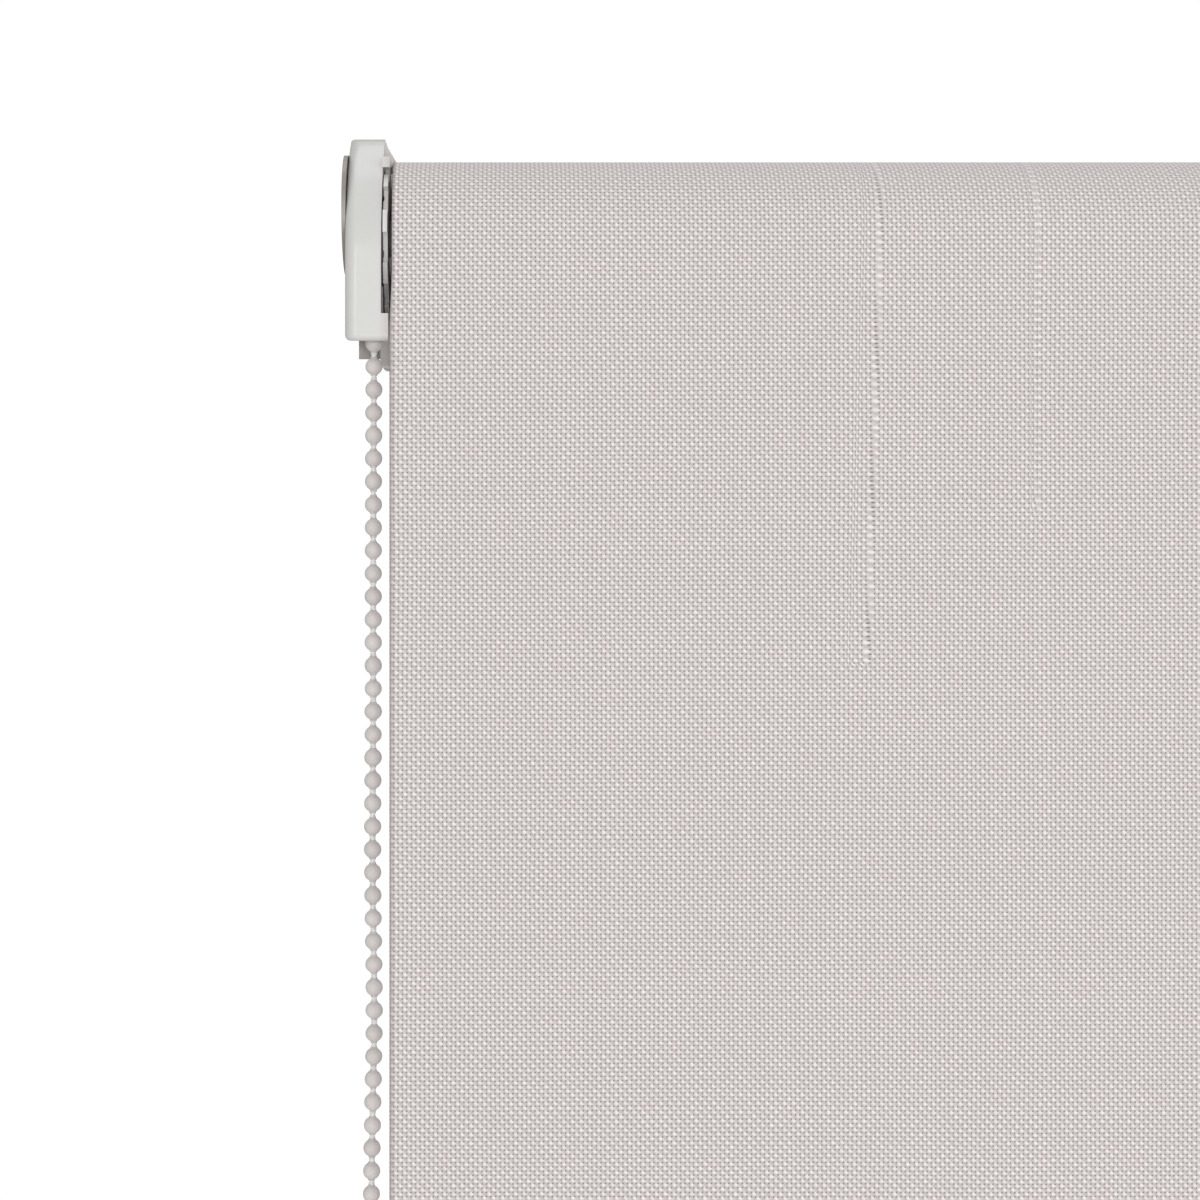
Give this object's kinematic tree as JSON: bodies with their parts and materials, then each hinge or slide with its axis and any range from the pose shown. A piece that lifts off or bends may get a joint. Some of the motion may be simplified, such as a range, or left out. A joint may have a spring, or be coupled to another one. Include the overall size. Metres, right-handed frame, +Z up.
{
  "type": "roller blind",
  "caption": "Chain-operated roller blind: fabric winds off the front of a tube held between two wall brackets, with a weighted bottom bar.",
  "frame": {"origin": "on the wall plane, centre of the four wall screw holes, at the height of the roller axis", "axes": "+X along the roller from the chain end to the idle end, +Y into the wall, -Y towards the room, +Z up"},
  "size_m": [0.6265, 0.059, 1.0401],
  "materials": {
    "zinc_steel": "satin zinc plate",
    "white_plastic": "moulded semi-gloss, slightly warm white",
    "wheel_plastic": "moulded matte off-white",
    "dark_plastic": "moulded dark grey",
    "spring_steel": "drawn wire",
    "chain_plastic": "slightly translucent matte beads",
    "clear_plastic": "clear moulded",
    "blind_fabric": "coarse plain weave, warm light grey",
    "aluminium": "mill finish extrusion",
    "bar_aluminium": "satin powder coat, off-white",
    "tape": "adhesive film",
    "pin_nylon": "nylon"
  },
  "bodies": {
    "root": {"control_bracket": "zinc_steel", "idle_bracket": "zinc_steel", "control_housing": "white_plastic", "idle_cover": "white_plastic", "clutch_spindle": "dark_plastic", "spindle_clip": "spring_steel", "bead_chain": "chain_plastic", "chain_wheel_run": "chain_plastic", "chain_connector": "clear_plastic", "fabric_drop": "blind_fabric"},
    "roller": {"chain_wheel": "wheel_plastic", "wrap_spring_outer": "spring_steel", "wrap_spring_inner": "spring_steel", "drive_sleeve": "dark_plastic", "roller_tube": "aluminium", "fabric_tape": "tape", "fabric_roll": "blind_fabric", "idle_plug": "wheel_plastic", "idle_plug_cap": "wheel_plastic", "idle_spring": "spring_steel"},
    "bottom_rail": {"bottom_bar": "bar_aluminium", "bar_insert_strip": "clear_plastic", "bar_end_cap_left": "white_plastic", "bar_end_cap_right": "white_plastic"},
    "axle_pin": {"idle_pin": "pin_nylon"}
  },
  "joints": [
    {"name": "roller_spin", "type": "hinge", "parent": "root", "child": "roller", "pos_m": [0, -0.032, 0], "axis": [-1, 0, 0], "range_deg": [0, 2277]},
    {"name": "bar_lift", "type": "slide", "parent": "root", "child": "bottom_rail", "axis": [0, 0, 1], "range_m": [0, 0.95], "deforming": ["fabric_drop"]},
    {"name": "idle_pin_slide", "type": "slide", "parent": "root", "child": "axle_pin", "axis": [-1, 0, 0], "range_m": [0, 0.0115], "stiffness_N_per_m": 180, "springref_m": -0.015, "deforming": ["idle_spring"]}
  ],
  "couplings": [
    {"joint": "bar_lift", "follows": "roller_spin", "m_per_rad": 0.0239}
  ]
}
